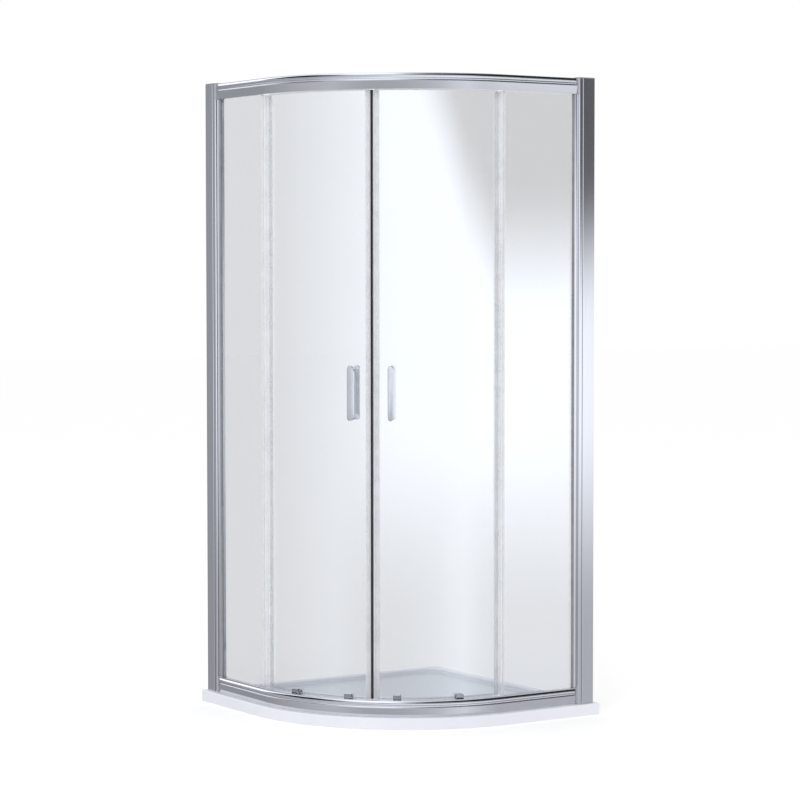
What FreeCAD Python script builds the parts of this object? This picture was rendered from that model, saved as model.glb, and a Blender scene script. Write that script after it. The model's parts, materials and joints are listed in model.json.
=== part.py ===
import FreeCAD, Part
import math
import os
import Sketcher

# Quadrant shower enclosure: a low tray with one rounded front, two straight fixed glass panels in
# wall-hung profiles, and two curved glass doors that roll along a curved top and bottom rail.
# Frame: millimetres, +Z up, origin at the bottom centre of the tray's square footprint. The side
# wall stands at -X, the back wall at +Y, and the rounded front faces +X and -Y.
# "left" is the straight side that ends at the side wall, "right" the one that ends at the back wall.
# Along a straight side, u runs from its wall and d runs inwards from the tray's front edge.

DRIVING_SIZES = [
    ("trayWidth", 900, "width and depth of the tray"),
    ("trayRadius", 550, "radius of the rounded front"),
    ("trayHeight", 35, "height of the tray"),
    ("trayEdgeRound", 3, "rounding of the tray's top edge"),
    ("wallLedge", 28, "flat rim of the tray along the walls"),
    ("frontLedge", 64, "flat rim of the tray along the front"),
    ("floorDepth", 15, "depth of the sunken floor"),
    ("floorCornerRadius", 60, "plan radius of the floor's corners"),
    ("floorRound", 8, "rounding where the floor meets its sides"),
    ("floorLipRound", 4, "rounding of the ledge's inner edge"),
    ("wasteRadius", 45, "radius of the waste hole"),
    ("wasteRecessRadius", 57, "radius of the recess for the waste's flange"),
    ("wasteRecessDepth", 4, "depth of that recess below the floor"),
    ("wasteSetback", 190, "waste centre from the middle of the front"),
    ("wallMargin", 14, "tray's rim that runs on under the wall's tiles"),
    ("enclosureHeight", 1920, "height of the enclosure above the tray"),
    ("profileSetback", 14, "wall profile's face from the tray's edge"),
    ("profileDepth", 38, "depth of the wall profile"),
    ("profileReach", 43, "how far the wall profile stands off its wall"),
    ("profileWall", 1.8, "wall thickness of the wall profile"),
    ("profileRound", 1.5, "rounding of the wall profile's corners"),
    ("capThickness", 3, "thickness of the wall profile's top cap"),
    ("capLugDepth", 8, "how far the cap's lug reaches into the profile"),
    ("wallHoleRadius", 2.75, "radius of the wall screw holes"),
    ("wallHolePitch", 550, "distance between wall screw holes"),
    ("stileStart", 20, "back of the frame stile, from the wall"),
    ("stileEnd", 56, "front of the frame stile, from the wall"),
    ("stileGap", 0.8, "play between stile and wall profile"),
    ("stileWall", 2.2, "wall thickness of the stile"),
    ("stileRound", 4, "rounding of the stile's front corner"),
    ("glassGrip", 4, "depth of glass held in the stile"),
    ("beadEnd", 66, "end of the glazing bead, from the wall"),
    ("beadThickness", 2.4, "thickness of the glazing bead"),
    ("beadArc", 14, "rounding of the glazing bead's front"),
    ("gasketEnd", 75, "end of the glazing gasket, from the wall"),
    ("gasketShoulder", 2, "thickness of the glazing gasket beside the bead"),
    ("gasketLip", 0.4, "thickness of the glazing gasket's free edge"),
    ("railSetback", 16, "rail's face from the tray's edge"),
    ("railHeight", 48, "height of each rail"),
    ("railStart", 62, "end of each rail, from the wall"),
    ("railWall", 1.8, "wall thickness of the rails"),
    ("fasciaHeight", 25.5, "height of the rails' flat lower face"),
    ("fasciaInset", 1.5, "fascia behind the rails' rolled top"),
    ("fasciaLean", 3, "how far the fascia falls back to its lower edge"),
    ("beadHeight", 7, "height of the narrow bead above the fascia"),
    ("beadInset", 1, "bead behind the fascia"),
    ("beadRound", 3.4, "rounding under the bead"),
    ("quirkHeight", 2, "height of the narrow groove above the bead"),
    ("quirkInset", 2, "bottom of that groove behind the fascia"),
    ("edgeEase", 0.5, "easing of the rails' narrow edges"),
    ("rollHeight", 8.5, "height of the rails' rolled top"),
    ("rollUnderRound", 5, "rounding under the rolled top"),
    ("rollRound", 9, "rounding of the rolled top"),
    ("rollInset", 4.2, "how far the rolled top leans back"),
    ("railCover", 2, "top rail's cover behind the door glass"),
    ("sillThickness", 2, "thickness of the strip under the bottom rail"),
    ("fixedGlassThickness", 5, "thickness of the fixed glass"),
    ("fixedGlassSetback", 28.5, "fixed glass's face from the tray's edge"),
    ("glassSeat", 0.4, "fixed glass above the floor of its groove"),
    ("fixedGlassEnd", 331, "free edge of the fixed glass, from the wall"),
    ("railGasket", 1, "gasket between fixed glass and groove wall"),
    ("grooveDepth", 20, "depth of glass held in the rails"),
    ("grooveLead", 1.2, "chamfer in the head of the top rail's groove"),
    ("gasketHeight", 8, "height of the rails' gasket strips"),
    ("cornerInset", 0.3, "rail corner behind the rail's face"),
    ("cornerLug", 15, "reach of a rail corner's lug into the rail"),
    ("webThickness", 1.5, "wall between glass groove and roller track"),
    ("trackWidth", 11, "width of the roller track"),
    ("doorGlassThickness", 5, "thickness of the door glass"),
    ("doorGap", 1.5, "door glass behind the rails"),
    ("doorBottomGap", 14, "door glass above the tray"),
    ("doorTopGap", 10, "door glass below the top of the enclosure"),
    ("doorLeadAngle", 0.8, "leading edge of the door glass"),
    ("doorTrailAngle", 45.2, "trailing edge of the door glass"),
    ("sealThickness", 1.6, "thickness of the seals' legs"),
    ("sealGap", 0.1, "play between a seal and its glass"),
    ("sealLegAngle", 2.4, "reach of the magnetic seal over the door"),
    ("magnetAngle", 0.35, "back of the magnet strip"),
    ("meetingAngle", 0.04, "half of the gap between the two doors"),
    ("magnetFront", 9, "magnet strip in front of the door glass"),
    ("sealFront", 6.5, "magnetic seal in front of the door glass"),
    ("trailLegAngle", 44.0, "start of the trailing seal's legs"),
    ("trailCapAngle", 45.6, "end of the trailing seal"),
    ("finReach", 9, "reach of the interlocking seal fins"),
    ("finThickness", 1.4, "thickness of the interlocking seal fins"),
    ("stripWidth", 12, "width of the fixed panel's edge strip"),
    ("stripCover", 6, "how far the edge strip laps over the glass"),
    ("stripThickness", 1.2, "thickness of the edge strip's legs"),
    ("forkPass", 2, "room for a passing roller fork below the strip's fin"),
    ("sealEndGap", 0.8, "magnetic seal and edge strip short of the rails"),
    ("trailEndGap", 1.5, "trailing seal short of the rails"),
    ("wiperGap", 1, "wiper above the tray's ledge"),
    ("wiperCover", 12, "height of the wiper's legs over the glass"),
    ("wiperWeb", 2, "thickness of the wiper's web under the glass"),
    ("wheelRadius", 11, "radius of the rollers"),
    ("wheelWidth", 4.7, "width of the rollers"),
    ("wheelCrown", 1, "rounding of the rollers' tread"),
    ("wheelGap", 0.3, "roller above its track at rest"),
    ("axleRadius", 2.5, "radius of the roller axles"),
    ("axlePlay", 0.05, "running clearance of a roller on its axle"),
    ("leadRollerAngle", 8.5, "rollers near the leading edge"),
    ("trailRollerAngle", 29.9, "rollers near the trailing edge"),
    ("forkWidth", 24, "width of a roller fork"),
    ("forkRoof", 1.9, "thickness of the fork's roof over its roller"),
    ("forkDrop", 8, "bottom of a roller fork below its axle"),
    ("forkPlate", 1.4, "thickness of the fork's front plate"),
    ("forkGap", 0.6, "play round the fork and its roller"),
    ("forkRound", 3, "rounding of the fork's corners"),
    ("lowerTrackHeight", 35.7, "roller track above the bottom rail's base"),
    ("upperTrackHeight", 4.3, "roller track above the top rail's lower edge"),
    ("rollerHoleRadius", 5, "radius of the roller holes in the glass"),
    ("nutRadius", 10, "radius of the roller's inner nut"),
    ("nutHeight", 8.5, "height of the roller's inner nut"),
    ("washerThickness", 0.9, "thickness of the washer under that nut"),
    ("openingAngle", 24, "travel of each door about the curve's centre"),
    ("stopLength", 17.5, "length of a door stop"),
    ("stopHeight", 20, "height of a door stop"),
    ("stopGap", 1.2, "door stop from the open door's roller fork"),
    ("handleAngle", 6.7, "middle of a handle"),
    ("handleHeight", 968, "middle of a handle above the tray"),
    ("handleLength", 165, "length of a handle"),
    ("handleWidth", 18, "width of a handle"),
    ("handleThickness", 8, "thickness of a handle's bar"),
    ("handleRound", 2.5, "rounding of a handle's bar"),
    ("outerStandoff", 35, "outer handle's reach from the glass"),
    ("innerStandoff", 32, "inner handle's reach from the glass"),
    ("postRadius", 8, "radius of the handle posts"),
    ("postGap", 0.3, "play between a post and the glass"),
    ("postPitch", 145, "distance between the handle posts"),
    ("boltRadius", 3, "radius of the handle bolts"),
    ("boltDepth", 16, "depth of a handle bolt in its post"),
    ("handleHoleRadius", 6, "radius of the handle holes in the glass"),
    ("screwRadius", 2.1, "radius of the frame screws"),
    ("screwHeadRadius", 4, "radius of the frame screws' heads"),
    ("screwHeadHeight", 2.4, "height of the frame screws' heads"),
    ("screwHeadRound", 1, "rounding of the frame screws' heads"),
    ("screwPlay", 0.25, "clearance round the frame screws"),
    ("cornerScrewReach", 10, "corner screw past the end of the rail"),
    ("fixingScrewReach", 3, "profile screw past the stile's wall"),
    ("fixingHeight", 160, "lowest and highest profile screw, from the ends"),
    ("screwCapRadius", 6.5, "radius of the screw caps"),
    ("screwCapHeight", 4, "height of the screw caps"),
    ("domeRound", 2, "rounding of the screw caps and the roller nuts"),
]

SQUARE_CORNER = math.radians(90)
DIAGONAL = 45
SIDES = (("left", -1), ("right", 1))

doc = FreeCAD.newDocument("QuadrantShowerEnclosure")
sheet = doc.addObject("Spreadsheet::Sheet", "Sizes")
for row, (alias, number, note) in enumerate(DRIVING_SIZES, start=1):
    sheet.set(f"A{row}", alias)
    sheet.set(f"B{row}", str(number))
    sheet.setAlias(f"B{row}", alias)
    sheet.set(f"C{row}", note)
doc.recompute()


class Size:
    """A number together with the sheet formula that it comes from."""

    def __init__(self, number, formula):
        self.number = float(number)
        self.formula = formula

    def __add__(self, other):
        other = as_size(other)
        return Size(self.number + other.number, f"({self.formula} + {other.formula})")

    def __sub__(self, other):
        other = as_size(other)
        return Size(self.number - other.number, f"({self.formula} - {other.formula})")

    def __mul__(self, other):
        other = as_size(other)
        return Size(self.number * other.number, f"({self.formula} * {other.formula})")

    def __truediv__(self, other):
        other = as_size(other)
        return Size(self.number / other.number, f"({self.formula} / {other.formula})")

    def __radd__(self, other):
        return as_size(other) + self

    def __rsub__(self, other):
        return as_size(other) - self

    def __rmul__(self, other):
        return as_size(other) * self

    def __neg__(self):
        return as_size(-1) * self


def as_size(value):
    if isinstance(value, Size):
        return value
    return Size(value, f"({value})")


def size(alias):
    return Size(sheet.get(alias), f"Sizes.{alias}")


def sine(angle):
    return Size(math.sin(math.radians(angle.number)), f"sin({angle.formula})")


def cosine(angle):
    return Size(math.cos(math.radians(angle.number)), f"cos({angle.formula})")


def bind(thing, name, value):
    """Sets a property and ties it to the sheet."""
    value = as_size(value)
    thing.setExpression(name, value.formula)


def place(thing, x=0, y=0, z=0, turn=0):
    """Moves a piece to its place and turns it about the vertical."""
    x, y, z, turn = (as_size(value) for value in (x, y, z, turn))
    base = FreeCAD.Vector(x.number, y.number, z.number)
    up = FreeCAD.Vector(0, 0, 1)
    if turn.number == 0:
        thing.Placement = FreeCAD.Placement(base, FreeCAD.Rotation())
    else:
        thing.Placement = FreeCAD.Placement(base, FreeCAD.Rotation(up, turn.number))
        bind(thing, "Placement.Rotation.Angle", turn)
    bind(thing, "Placement.Base.x", x)
    bind(thing, "Placement.Base.y", y)
    bind(thing, "Placement.Base.z", z)


# Sketches -----------------------------------------------------------------------------------


def new_body(name):
    return doc.addObject("PartDesign::Body", name)


def new_sketch(body, name, plane, lift=0, turn=0):
    """A sketch on one of the body's own planes, lifted along its normal, turned about vertical."""
    planes = {feature.Role: feature for feature in body.Origin.OriginFeatures}
    sketch = body.newObject("Sketcher::SketchObject", name)
    sketch.AttachmentSupport = [(planes[plane], "")]
    sketch.MapMode = "FlatFace"
    lift = as_size(lift)
    turn = as_size(turn)
    upright = FreeCAD.Vector(0, 1, 0)
    sketch.AttachmentOffset = FreeCAD.Placement(
        FreeCAD.Vector(0, 0, lift.number), FreeCAD.Rotation(upright, turn.number)
    )
    bind(sketch, "AttachmentOffset.Base.z", lift)
    if turn.number:
        bind(sketch, "AttachmentOffset.Rotation.Angle", turn)
    return sketch


def tie_point(sketch, geometry, point, x, y):
    """Holds a point of the sketch at x, y from its origin."""
    for kind, axis, value in (("DistanceX", -2, x), ("DistanceY", -1, y)):
        value = as_size(value)
        if value.number == 0:
            sketch.addConstraint(Sketcher.Constraint("PointOnObject", geometry, point, axis))
            continue
        row = sketch.addConstraint(
            Sketcher.Constraint(kind, -1, 1, geometry, point, value.number)
        )
        sketch.setExpression(f"Constraints[{row}]", value.formula)


def tie_radius(sketch, geometry, radius):
    row = sketch.addConstraint(Sketcher.Constraint("Radius", geometry, radius.number))
    sketch.setExpression(f"Constraints[{row}]", radius.formula)


def draw_arc(sketch, start, end, radius, bulge):
    """The short arc between two points; bulge 1 curves to the right of the way, -1 to the left."""
    way = end - start
    middle = (start + end) * 0.5
    left = FreeCAD.Vector(-way.y, way.x, 0).normalize()
    rise = math.sqrt(max(radius**2 - (way.Length / 2) ** 2, 0))
    centre = middle + left * rise * bulge
    circle = Part.Circle(centre, FreeCAD.Vector(0, 0, 1), radius)
    first, last = (start, end) if bulge > 0 else (end, start)
    angles = [math.atan2(p.y - centre.y, p.x - centre.x) for p in (first, last)]
    geometry = sketch.addGeometry(Part.ArcOfCircle(circle, *angles), False)
    return (geometry, 1, 2) if bulge > 0 else (geometry, 2, 1)


def draw_outline(sketch, corners):
    """A closed outline. A corner is (x, y), or (x, y, radius, bulge) where an arc leaves it."""
    corners = [tuple(corner) for corner in corners]
    points = [
        FreeCAD.Vector(as_size(corner[0]).number, as_size(corner[1]).number, 0)
        for corner in corners
    ]
    edges = []
    for index, corner in enumerate(corners):
        start = points[index]
        end = points[(index + 1) % len(points)]
        if len(corner) == 2:
            geometry = sketch.addGeometry(Part.LineSegment(start, end), False)
            edges.append((geometry, 1, 2))
        else:
            radius = as_size(corner[2])
            edges.append(draw_arc(sketch, start, end, radius.number, corner[3]))
    for index, (geometry, _, end) in enumerate(edges):
        following, start, _ = edges[(index + 1) % len(edges)]
        sketch.addConstraint(Sketcher.Constraint("Coincident", geometry, end, following, start))
    for (geometry, start, _), corner in zip(edges, corners):
        tie_point(sketch, geometry, start, corner[0], corner[1])
        if len(corner) > 2:
            tie_radius(sketch, geometry, as_size(corner[2]))


def draw_circle(sketch, x, y, radius):
    x, y, radius = as_size(x), as_size(y), as_size(radius)
    centre = FreeCAD.Vector(x.number, y.number, 0)
    up = FreeCAD.Vector(0, 0, 1)
    geometry = sketch.addGeometry(Part.Circle(centre, up, radius.number), False)
    tie_point(sketch, geometry, 3, x, y)
    tie_radius(sketch, geometry, radius)


def rectangle(low_x, low_y, high_x, high_y):
    return [(low_x, low_y), (high_x, low_y), (high_x, high_y), (low_x, high_y)]


def rounded_rectangle(low_x, low_y, high_x, high_y, radius):
    return [
        (low_x + radius, low_y),
        (high_x - radius, low_y, radius, 1),
        (high_x, low_y + radius),
        (high_x, high_y - radius, radius, 1),
        (high_x - radius, high_y),
        (low_x + radius, high_y, radius, 1),
        (low_x, high_y - radius),
        (low_x, low_y + radius, radius, 1),
    ]


# Features -----------------------------------------------------------------------------------


def fill(sketch, outlines, circles):
    for outline in outlines:
        draw_outline(sketch, outline)
    for circle in circles:
        draw_circle(sketch, *circle)


def pad(body, name, length, outlines=(), circles=(), plane="XY_Plane", lift=0, back=False):
    """Adds a straight run of material along the plane's normal, or backwards."""
    sketch = new_sketch(body, name + "Outline", plane, lift)
    fill(sketch, outlines, circles)
    feature = body.newObject("PartDesign::Pad", name)
    feature.Profile = sketch
    feature.Length = as_size(length).number
    bind(feature, "Length", length)
    feature.Reversed = back
    return feature


def cut(body, name, depth, outlines=(), circles=(), plane="XY_Plane", lift=0, turn=0):
    """Cuts along the plane's normal, and checks that it did cut."""
    doc.recompute()
    before = body.Shape.Volume
    sketch = new_sketch(body, name + "Outline", plane, lift, turn)
    fill(sketch, outlines, circles)
    feature = body.newObject("PartDesign::Pocket", name)
    feature.Profile = sketch
    feature.Length = as_size(depth).number
    bind(feature, "Length", depth)
    feature.Reversed = True
    doc.recompute()
    if body.Shape.Volume >= before:
        raise RuntimeError(f"{body.Name}: {name} cuts nothing")
    return feature


def sweep(body, name, section, start, angle):
    """Turns a section, drawn as distance from the axis and height, about the vertical axis."""
    sketch = new_sketch(body, name + "Section", "XZ_Plane", 0, start)
    fill(sketch, [section], ())
    feature = body.newObject("PartDesign::Revolution", name)
    feature.Profile = sketch
    feature.ReferenceAxis = (sketch, ["V_Axis"])
    feature.Angle = as_size(angle).number
    bind(feature, "Angle", angle)
    return feature


def spin(body, name, section, lift=0):
    """A full turn of a section, drawn as place along the level axis and distance from it."""
    sketch = new_sketch(body, name + "Section", "XZ_Plane", lift)
    fill(sketch, [section], ())
    feature = body.newObject("PartDesign::Revolution", name)
    feature.Profile = sketch
    feature.ReferenceAxis = (sketch, ["H_Axis"])
    feature.Angle = 360
    return feature


def round_edges(body, name, radius, chosen):
    """Fillets the edges of the body's tip for which chosen(edge) is true."""
    doc.recompute()
    base = body.Tip
    names = [
        f"Edge{index}" for index, edge in enumerate(base.Shape.Edges, start=1) if chosen(edge)
    ]
    if not names:
        raise RuntimeError(f"{body.Name}: {name} finds no edges")
    feature = body.newObject("PartDesign::Fillet", name)
    feature.Base = (base, names)
    feature.Radius = as_size(radius).number
    bind(feature, "Radius", radius)
    return feature


finished = []


def finish_piece(piece, label):
    piece.Label = label
    finished.append(piece)
    return piece


def group(label, pieces):
    """One sub-part of several separate solids that are alike."""
    compound = doc.addObject("Part::Compound", "group_" + label)
    compound.Links = pieces
    return finish_piece(compound, label)


# Shared places ------------------------------------------------------------------------------

half_width = size("trayWidth") / 2
tray_top = size("trayHeight")
top = tray_top + size("enclosureHeight")
wall_face = half_width - size("wallMargin")
centre_x = half_width - size("trayRadius")
centre_y = -centre_x
straight = size("trayWidth") - size("trayRadius") - size("wallMargin")

rail_base = tray_top + size("sillThickness")
bottom_rail_top = rail_base + size("railHeight")
rail_top = top - size("capThickness")
top_rail_base = rail_top - size("railHeight")
lower_track = rail_base + size("lowerTrackHeight")
upper_track = top_rail_base + size("upperTrackHeight")

groove_front = size("fixedGlassSetback") - size("railGasket")
fixed_glass_back = size("fixedGlassSetback") + size("fixedGlassThickness")
groove_back = fixed_glass_back + size("railGasket")
track_front = groove_back + size("webThickness")
rail_back = track_front + size("trackWidth")

glass_outer = size("trayRadius") - rail_back - size("doorGap")
glass_inner = glass_outer - size("doorGlassThickness")
glass_bottom = tray_top + size("doorBottomGap")
glass_top = top - size("doorTopGap")

fork_front = size("trayRadius") - track_front - size("forkGap")
wheel_front = fork_front - size("forkPlate") - size("forkGap")
wheel_back = wheel_front - size("wheelWidth")
fork_back = glass_outer + size("postGap")
axle_rise = size("wheelRadius") + size("wheelGap")
fork_rise = size("wheelRadius") + size("forkGap") + size("forkRoof")
ROLLERS = (
    ("top", upper_track + axle_rise),
    ("bottom", lower_track + axle_rise),
)
ROLLER_PLACES = (
    ("lead", size("leadRollerAngle")),
    ("trail", size("trailRollerAngle")),
)


def on_plan(side, u, d):
    """A point of a straight side, u from its wall and d from the tray's front edge."""
    u, d = as_size(u), as_size(d)
    if side < 0:
        return u - wall_face, d - half_width
    return half_width - d, wall_face - u


def plan_outline(side, corners):
    """Corners given as u and d, set out on the left side or mirrored to the right one."""
    outline = []
    for corner in corners:
        x, y = on_plan(side, corner[0], corner[1])
        if len(corner) == 2:
            outline.append((x, y))
        else:
            outline.append((x, y, corner[2], -corner[3] * side))
    return outline


def plan_box(side, start, near, end, far):
    """A rectangle from u start to end and from d near to far."""
    return plan_outline(side, rectangle(start, near, end, far))


def to_curve_centre(piece, z=0, turn=0):
    place(piece, centre_x, centre_y, z, turn)


def door_turn(side, angle):
    """The plan angle of something that lies this far from the line where the doors meet."""
    return side * as_size(angle) - DIAGONAL


# Tray ---------------------------------------------------------------------------------------


def build_tray():
    body = new_body("Tray")
    corner = half_width
    outline = [
        (-corner, corner),
        (-corner, -corner),
        (centre_x, -corner, size("trayRadius"), 1),
        (corner, centre_y),
        (corner, corner),
    ]
    pad(body, "TraySlab", tray_top, [outline])
    floor = tray_top - size("floorDepth")
    wall_line = half_width - size("wallLedge")
    front_line = half_width - size("frontLedge")
    corner_radius = size("floorCornerRadius")
    floor_outline = [
        (-wall_line, wall_line - corner_radius),
        (-wall_line, corner_radius - front_line, corner_radius, 1),
        (corner_radius - wall_line, -front_line),
        (centre_x, -front_line, size("trayRadius") - size("frontLedge"), 1),
        (front_line, centre_y),
        (front_line, wall_line - corner_radius, corner_radius, 1),
        (front_line - corner_radius, wall_line),
        (corner_radius - wall_line, wall_line, corner_radius, 1),
    ]
    cut(body, "SunkenFloor", size("floorDepth"), [floor_outline], lift=floor)
    floor_level = floor.number
    top_level = tray_top.number
    reach = half_width.number
    tiny = 0.001

    def level_edge(edge, level):
        box = edge.BoundBox
        return abs(box.ZMin - level) < tiny and abs(box.ZMax - level) < tiny

    def on_front(edge):
        box = edge.BoundBox
        middle = edge.valueAt((edge.FirstParameter + edge.LastParameter) / 2)
        out = math.hypot(middle.x - centre_x.number, middle.y - centre_y.number)
        on_curve = abs(out - size("trayRadius").number) < tiny and box.XLength > 1
        return (
            abs(box.YMax + reach) < tiny
            or abs(box.XMin - reach) < tiny
            or (on_curve and box.YLength > 1)
        )

    round_edges(body, "FloorRound", size("floorRound"), lambda e: level_edge(e, floor_level))
    round_edges(
        body,
        "LedgeRound",
        size("floorLipRound"),
        lambda e: level_edge(e, top_level)
        and max(abs(e.BoundBox.XMin), abs(e.BoundBox.XMax)) < reach - tiny
        and max(abs(e.BoundBox.YMin), abs(e.BoundBox.YMax)) < reach - tiny,
    )
    round_edges(
        body,
        "FrontEdgeRound",
        size("trayEdgeRound"),
        lambda e: level_edge(e, top_level) and on_front(e),
    )
    waste_out = (size("trayRadius") - size("wasteSetback")) * math.sqrt(0.5)
    waste_x = centre_x + waste_out
    waste_y = centre_y - waste_out
    recess = (waste_x, waste_y, size("wasteRecessRadius"))
    depth = size("wasteRecessDepth")
    cut(body, "WasteRecess", depth * 2, circles=[recess], lift=floor - depth)
    waste = (waste_x, waste_y, size("wasteRadius"))
    cut(body, "WasteHole", tray_top, circles=[waste])
    return finish_piece(body, "shower_tray")


# Wall profiles and stiles -------------------------------------------------------------------


def cross_plane(side, far_face):
    """The plane across u (far_face False) or across d (True) on this side."""
    if side < 0:
        return "XZ_Plane" if far_face else "YZ_Plane"
    return "YZ_Plane" if far_face else "XZ_Plane"


def hole_place(side, u, d, z, far_face):
    """A hole centre as drawn on that plane."""
    x, y = on_plan(side, u, d)
    if cross_plane(side, far_face) == "XZ_Plane":
        return x, z
    return y, z


def drill_from_wall(body, name, side, u, depth, holes):
    """Holes along u, away from the wall, starting at u."""
    circles = [(*hole_place(side, u, d, z, False), radius) for d, z, radius in holes]
    plane = cross_plane(side, False)
    return cut(body, name, depth, circles=circles, plane=plane, lift=u - wall_face)


def drill_from_inside(body, name, side, d, depth, holes):
    """Holes along d, towards the front, starting at d."""
    circles = [(*hole_place(side, u, d, z, True), radius) for u, z, radius in holes]
    plane = cross_plane(side, True)
    return cut(body, name, depth, circles=circles, plane=plane, lift=half_width - d)


profile_back = size("profileSetback") + size("profileDepth")
stile_front = size("profileSetback") + size("profileWall") + size("stileGap")
stile_back = profile_back - size("profileWall") - size("stileGap")
fixing_u = (size("stileStart") + size("profileReach")) / 2
fixing_heights = [
    tray_top + size("fixingHeight"),
    (tray_top + top) / 2,
    top - size("fixingHeight"),
]
frame_screw_d = (track_front + rail_back) / 2
corner_screw_heights = (
    (rail_base + lower_track) / 2 - size("railWall"),
    (upper_track + rail_top) / 2,
)
screw_hole = size("screwRadius") + size("screwPlay")


def build_wall_profile(name, side):
    body = new_body("WallProfile_" + name)
    front = size("profileSetback")
    reach = size("profileReach")
    wall = size("profileWall")
    rounding = size("profileRound")
    outline = [
        (0, front),
        (reach - rounding, front, rounding, 1),
        (reach, front + rounding),
        (reach, front + wall),
        (wall, front + wall),
        (wall, profile_back - wall),
        (reach, profile_back - wall),
        (reach, profile_back - rounding, rounding, 1),
        (reach - rounding, profile_back),
        (0, profile_back),
    ]
    height = size("enclosureHeight") - size("capThickness")
    pad(body, "Channel" + name, height, [plan_outline(side, outline)], lift=tray_top)
    middle = tray_top + size("enclosureHeight") / 2
    pitch = size("wallHolePitch")
    d = (front + profile_back) / 2
    heights = [middle + pitch * step for step in (-1.5, -0.5, 0.5, 1.5)]
    wall_holes = [(d, z, size("wallHoleRadius")) for z in heights]
    drill_from_wall(body, "WallHoles" + name, side, as_size(0), wall, wall_holes)
    holes = [(fixing_u, z, screw_hole) for z in fixing_heights]
    drill_from_inside(body, "FixingHoles" + name, side, profile_back, wall, holes)
    return finish_piece(body, "wall_profile_" + name)


def build_profile_cap(name, side):
    body = new_body("ProfileCap_" + name)
    front = size("profileSetback")
    reach = size("profileReach")
    end = size("stileEnd")
    rounding = size("stileRound")
    thickness = size("capThickness")
    outline = [
        (0, front),
        (reach, front),
        (reach, stile_front),
        (end - rounding, stile_front, rounding, 1),
        (end, stile_front + rounding),
        (end, stile_back),
        (reach, stile_back),
        (reach, profile_back),
        (0, profile_back),
    ]
    plate = plan_outline(side, outline)
    pad(body, "CapPlate" + name, thickness, [plate], lift=top - thickness)
    wall = size("profileWall") + size("stileGap")
    lug = plan_box(
        side, wall, front + wall, size("stileStart") - wall, profile_back - wall
    )
    depth = size("capLugDepth")
    pad(body, "CapLug" + name, depth, [lug], lift=top - thickness - depth)
    return finish_piece(body, "wall_profile_cap_" + name)


def build_stile(name, side):
    body = new_body("Stile_" + name)
    start = size("stileStart")
    end = size("stileEnd")
    wall = size("stileWall")
    rounding = size("stileRound")
    grip = end - size("glassGrip") - size("stileGap")
    flange_front = groove_back + size("railGasket")
    flange_end = size("beadEnd")
    outline = [
        (start, stile_front),
        (end - rounding, stile_front, rounding, 1),
        (end, stile_front + rounding),
        (end, groove_front),
        (grip, groove_front),
        (grip, groove_back),
        (end, groove_back),
        (end, flange_front),
        (flange_end, flange_front),
        (flange_end, flange_front + wall),
        (end, flange_front + wall),
        (end, stile_back),
        (start, stile_back),
    ]
    chamber_end = grip - wall
    chamber = [
        (start + wall, stile_front + wall),
        (chamber_end, stile_front + wall),
        (chamber_end, stile_back - wall),
        (start + wall, stile_back - wall),
    ]
    outlines = [plan_outline(side, outline), plan_outline(side, chamber)]
    height = size("enclosureHeight") - size("capThickness")
    pad(body, "StileRun" + name, height, outlines, lift=tray_top)
    # the rear glazing flange stops short of the two rails
    lower_cut = bottom_rail_top - tray_top
    flange_cuts = (("Low", tray_top, lower_cut), ("High", top_rail_base, size("railHeight")))
    clear_of_bead = size("sealGap")
    for place_name, z, depth in flange_cuts:
        outline = plan_box(
            side, end, groove_back + clear_of_bead, flange_end + wall, flange_front + wall * 2
        )
        cut(body, "Flange" + place_name + name, depth, [outline], lift=z)
    corner_holes = [(frame_screw_d, z, screw_hole) for z in corner_screw_heights]
    hole_depth = end - chamber_end
    drill_from_wall(body, "CornerHoles" + name, side, chamber_end, hole_depth, corner_holes)
    fixing_holes = [(fixing_u, z, screw_hole) for z in fixing_heights]
    drill_from_inside(body, "FixingHoles" + name, side, stile_back, wall, fixing_holes)
    return finish_piece(body, "frame_stile_" + name)


def build_glazing_bead(name, side):
    body = new_body("GlazingBead_" + name)
    start = size("stileEnd") + size("sealGap")
    end = size("beadEnd")
    back = size("fixedGlassSetback") - size("sealGap")
    outline = [
        (start, back - size("beadThickness"), size("beadArc"), 1),
        (end, back),
        (start, back),
    ]
    height = top_rail_base - bottom_rail_top
    pad(body, "BeadRun" + name, height, [plan_outline(side, outline)], lift=bottom_rail_top)
    return finish_piece(body, "glazing_bead_" + name)


def build_glazing_gasket(name, side):
    """A wedge in front of the glass beside the bead, and a flat strip behind it."""
    front_body = new_body("GasketFront_" + name)
    start = size("beadEnd") + size("sealGap")
    end = size("gasketEnd")
    back = size("fixedGlassSetback") - size("sealGap")
    shoulder = size("gasketShoulder")
    outline = [
        (start, back - shoulder),
        (start + shoulder, back - shoulder),
        (end, back - size("gasketLip")),
        (end, back),
        (start, back),
    ]
    height = top_rail_base - bottom_rail_top
    pad(front_body, "Wedge" + name, height, [plan_outline(side, outline)], lift=bottom_rail_top)
    back_body = new_body("GasketBack_" + name)
    strip = plan_box(
        side,
        size("stileEnd") + size("sealGap"),
        fixed_glass_back + size("sealGap"),
        size("beadEnd"),
        groove_back + size("railGasket") - size("sealGap"),
    )
    pad(back_body, "Strip" + name, height, [strip], lift=bottom_rail_top)
    return group("glazing_gasket_" + name, [front_body, back_body])


# Rails --------------------------------------------------------------------------------------


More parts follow.
